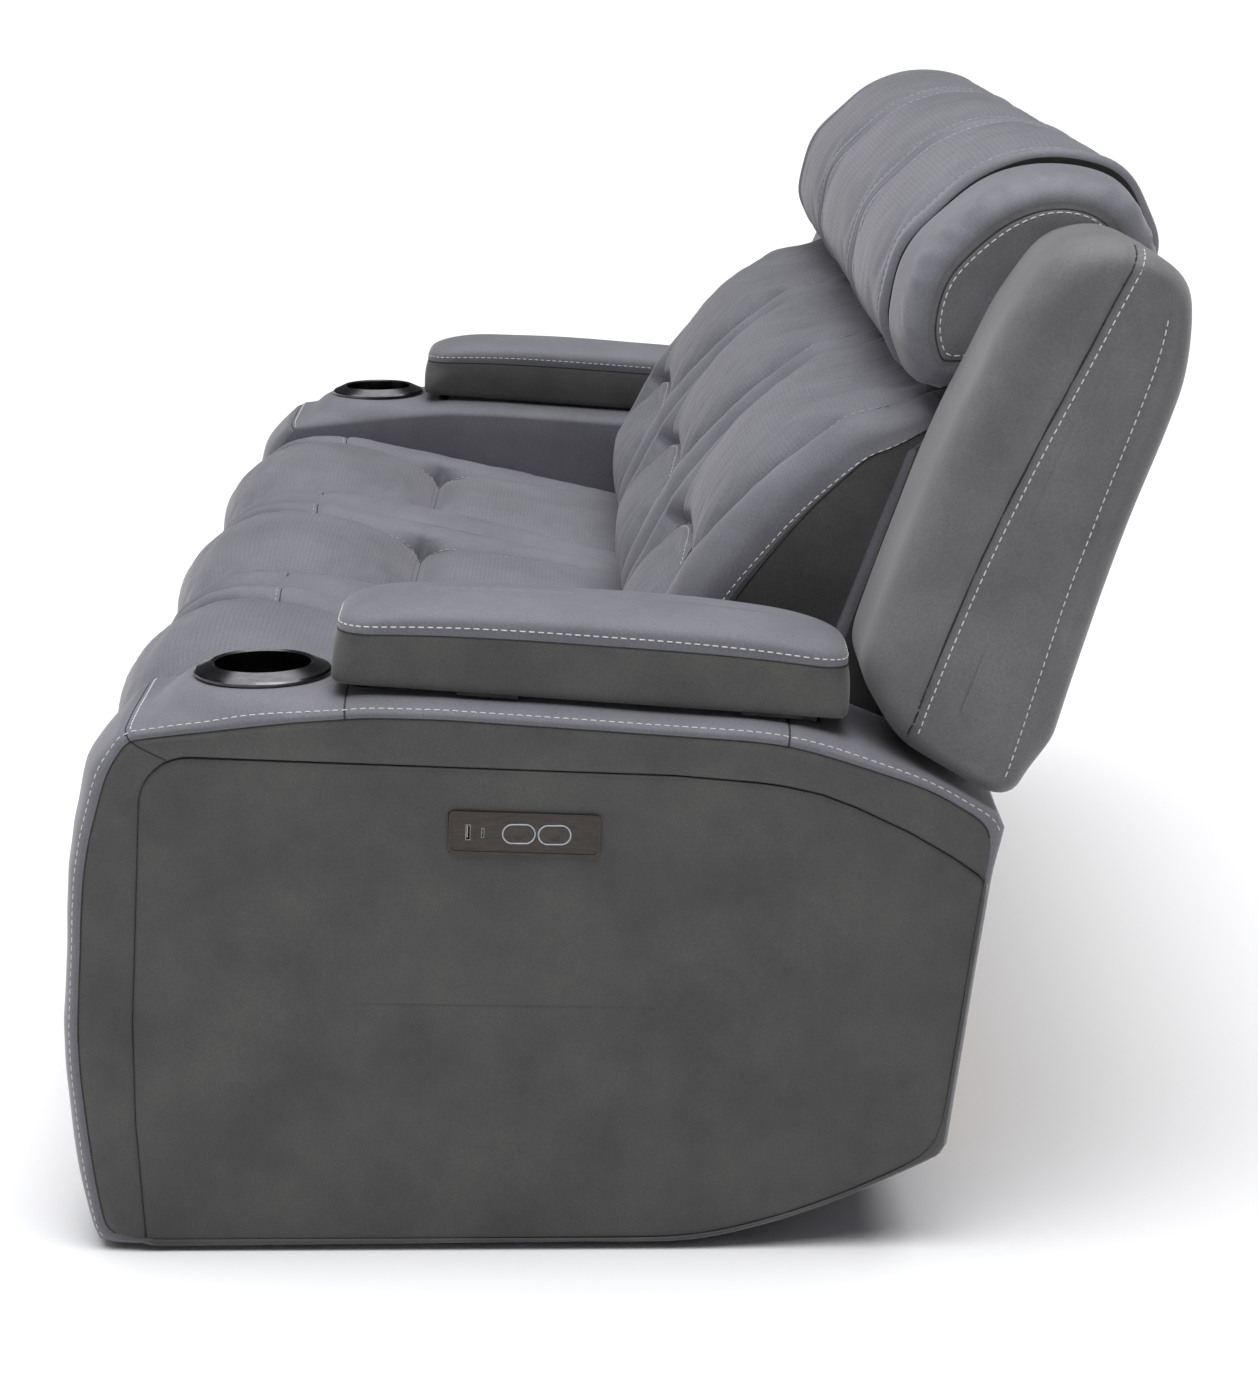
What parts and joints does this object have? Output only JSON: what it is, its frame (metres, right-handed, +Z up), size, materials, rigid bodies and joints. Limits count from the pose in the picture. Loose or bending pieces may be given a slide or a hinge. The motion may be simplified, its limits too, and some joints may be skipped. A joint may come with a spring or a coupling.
{
  "type": "reclining sofa",
  "caption": "Long upholstered sofa whose end seats power-recline, with lifting legrests, tilting head rolls, storage arms, cup holders and side push buttons.",
  "frame": {"origin": "on the floor, under the middle of the sofa's overall box", "axes": "+X along the sofa's length, towards the right arm when it is seen from behind; +Y towards the back; +Z up"},
  "size_m": [2.0532, 1.0996, 1.0846],
  "materials": {
    "leather": "matt, slightly brushed leather",
    "leather_seat": "matt leather with fine perforation on the centre panels",
    "leather_side": "matt leather, mottled",
    "dark_nickel": "polished dark nickel",
    "bronze_plate": "brushed dark bronze",
    "button": "satin",
    "socket_metal": "bright",
    "timber": "raw plywood and softwood",
    "steel": "black powder coat",
    "black_plastic": "fine texture",
    "glide_plastic": "smooth"
  },
  "bodies": {
    "base": {"arm_frames": "timber", "storage_bins": "black_plastic", "usb_sockets": "socket_metal", "lid_hinges": "steel", "front_rail": "timber", "rear_rail": "timber", "base_rails": "steel", "drive_motors": "black_plastic", "glides": "glide_plastic", "mid_seat_frame": "timber", "mid_seat_cushion": "leather_seat", "mid_front_pad": "leather", "mid_back_frame": "timber", "mid_back_cushion": "leather_seat", "mid_headrest": "leather", "mid_back_panel": "leather_side", "arm_cover_r": "leather", "arm_side_panel_r": "leather_side", "cup_holder_r": "dark_nickel", "control_plate_r": "bronze_plate", "arm_cover_l": "leather", "arm_side_panel_l": "leather_side", "cup_holder_l": "dark_nickel", "control_plate_l": "bronze_plate"},
    "storage_lid_r": {"lid_board_r": "timber", "lid_pad_r": "leather"},
    "front_button_r": {"button_front_r": "button"},
    "rear_button_r": {"button_rear_r": "button"},
    "seat_r": {"seat_frame_r": "timber", "seat_cushion_r": "leather_seat"},
    "rear_links_r": {"link_rear_r": "steel"},
    "front_links_r": {"link_front_r": "steel"},
    "legrest_r": {"legrest_board_r": "timber", "legrest_pad_r": "leather"},
    "back_r": {"back_frame_r": "timber", "back_cushion_r": "leather_seat", "wing_r": "leather_side", "back_panel_r": "leather_side", "headrest_actuator_r": "black_plastic"},
    "headrest_r": {"headrest_frame_r": "steel", "headrest_cushion_r": "leather"},
    "drive_r": {"drive_block_r": "steel"},
    "storage_lid_l": {"lid_board_l": "timber", "lid_pad_l": "leather"},
    "front_button_l": {"button_front_l": "button"},
    "rear_button_l": {"button_rear_l": "button"},
    "seat_l": {"seat_frame_l": "timber", "seat_cushion_l": "leather_seat"},
    "rear_links_l": {"link_rear_l": "steel"},
    "front_links_l": {"link_front_l": "steel"},
    "legrest_l": {"legrest_board_l": "timber", "legrest_pad_l": "leather"},
    "back_l": {"back_frame_l": "timber", "back_cushion_l": "leather_seat", "wing_l": "leather_side", "back_panel_l": "leather_side", "headrest_actuator_l": "black_plastic"},
    "headrest_l": {"headrest_frame_l": "steel", "headrest_cushion_l": "leather"},
    "drive_l": {"drive_block_l": "steel"}
  },
  "joints": [
    {"name": "lid_hinge_r", "type": "hinge", "parent": "base", "child": "storage_lid_r", "pos_m": [0.997, 0, 0.572], "axis": [0, 0.9972, -0.075], "range_deg": [0, 88]},
    {"name": "front_button_press_r", "type": "slide", "parent": "base", "child": "front_button_r", "axis": [-1, 0, 0], "range_m": [0, 0.0015], "stiffness_N_per_m": 600},
    {"name": "rear_button_press_r", "type": "slide", "parent": "base", "child": "rear_button_r", "axis": [-1, 0, 0], "range_m": [0, 0.0015], "stiffness_N_per_m": 600},
    {"name": "back_recline_r", "type": "hinge", "parent": "base", "child": "back_r", "pos_m": [0.534, 0.262, 0.23], "axis": [-1, 0, 0], "range_deg": [0, 26]},
    {"name": "seat_glide_r", "type": "slide", "parent": "base", "child": "seat_r", "axis": [0, -1, 0], "range_m": [0, 0.045]},
    {"name": "legrest_lift_r", "type": "hinge", "parent": "seat_r", "child": "rear_links_r", "pos_m": [0.534, -0.37, 0.3], "axis": [-1, 0, 0], "range_deg": [0, 95.6]},
    {"name": "legrest_knee_r", "type": "hinge", "parent": "rear_links_r", "child": "front_links_r", "pos_m": [0.534, -0.335, 0.103], "axis": [1, 0, 0], "range_deg": [0, 93]},
    {"name": "legrest_tilt_r", "type": "hinge", "parent": "front_links_r", "child": "legrest_r", "pos_m": [0.534, -0.474, 0.235], "axis": [-1, 0, 0], "range_deg": [0, 87]},
    {"name": "headrest_tilt_r", "type": "hinge", "parent": "back_r", "child": "headrest_r", "pos_m": [0.534, 0.322, 0.856], "axis": [1, 0, 0], "range_deg": [0, 25]},
    {"name": "drive_travel_r", "type": "slide", "parent": "base", "child": "drive_r", "axis": [0, -1, 0], "range_m": [0, 0.16]},
    {"name": "lid_hinge_l", "type": "hinge", "parent": "base", "child": "storage_lid_l", "pos_m": [-0.997, 0, 0.572], "axis": [0, -0.9972, 0.075], "range_deg": [0, 88]},
    {"name": "front_button_press_l", "type": "slide", "parent": "base", "child": "front_button_l", "axis": [1, 0, 0], "range_m": [0, 0.0015], "stiffness_N_per_m": 600},
    {"name": "rear_button_press_l", "type": "slide", "parent": "base", "child": "rear_button_l", "axis": [1, 0, 0], "range_m": [0, 0.0015], "stiffness_N_per_m": 600},
    {"name": "back_recline_l", "type": "hinge", "parent": "base", "child": "back_l", "pos_m": [-0.534, 0.262, 0.23], "axis": [-1, 0, 0], "range_deg": [0, 26]},
    {"name": "seat_glide_l", "type": "slide", "parent": "base", "child": "seat_l", "axis": [0, -1, 0], "range_m": [0, 0.045]},
    {"name": "legrest_lift_l", "type": "hinge", "parent": "seat_l", "child": "rear_links_l", "pos_m": [-0.534, -0.37, 0.3], "axis": [-1, 0, 0], "range_deg": [0, 95.6]},
    {"name": "legrest_knee_l", "type": "hinge", "parent": "rear_links_l", "child": "front_links_l", "pos_m": [-0.534, -0.335, 0.103], "axis": [1, 0, 0], "range_deg": [0, 93]},
    {"name": "legrest_tilt_l", "type": "hinge", "parent": "front_links_l", "child": "legrest_l", "pos_m": [-0.534, -0.474, 0.235], "axis": [-1, 0, 0], "range_deg": [0, 87]},
    {"name": "headrest_tilt_l", "type": "hinge", "parent": "back_l", "child": "headrest_l", "pos_m": [-0.534, 0.322, 0.856], "axis": [1, 0, 0], "range_deg": [0, 25]},
    {"name": "drive_travel_l", "type": "slide", "parent": "base", "child": "drive_l", "axis": [0, -1, 0], "range_m": [0, 0.16]}
  ],
  "couplings": [
    {"joint": "seat_glide_r", "follows": "back_recline_r", "m_per_rad": 0.099},
    {"joint": "legrest_knee_r", "follows": "legrest_lift_r", "ratio": 0.9624},
    {"joint": "legrest_tilt_r", "follows": "legrest_lift_r", "ratio": 0.9033},
    {"joint": "drive_travel_r", "follows": "legrest_lift_r", "m_per_rad": 0.095},
    {"joint": "seat_glide_l", "follows": "back_recline_l", "m_per_rad": 0.099},
    {"joint": "legrest_knee_l", "follows": "legrest_lift_l", "ratio": 0.9624},
    {"joint": "legrest_tilt_l", "follows": "legrest_lift_l", "ratio": 0.9033},
    {"joint": "drive_travel_l", "follows": "legrest_lift_l", "m_per_rad": 0.095}
  ]
}
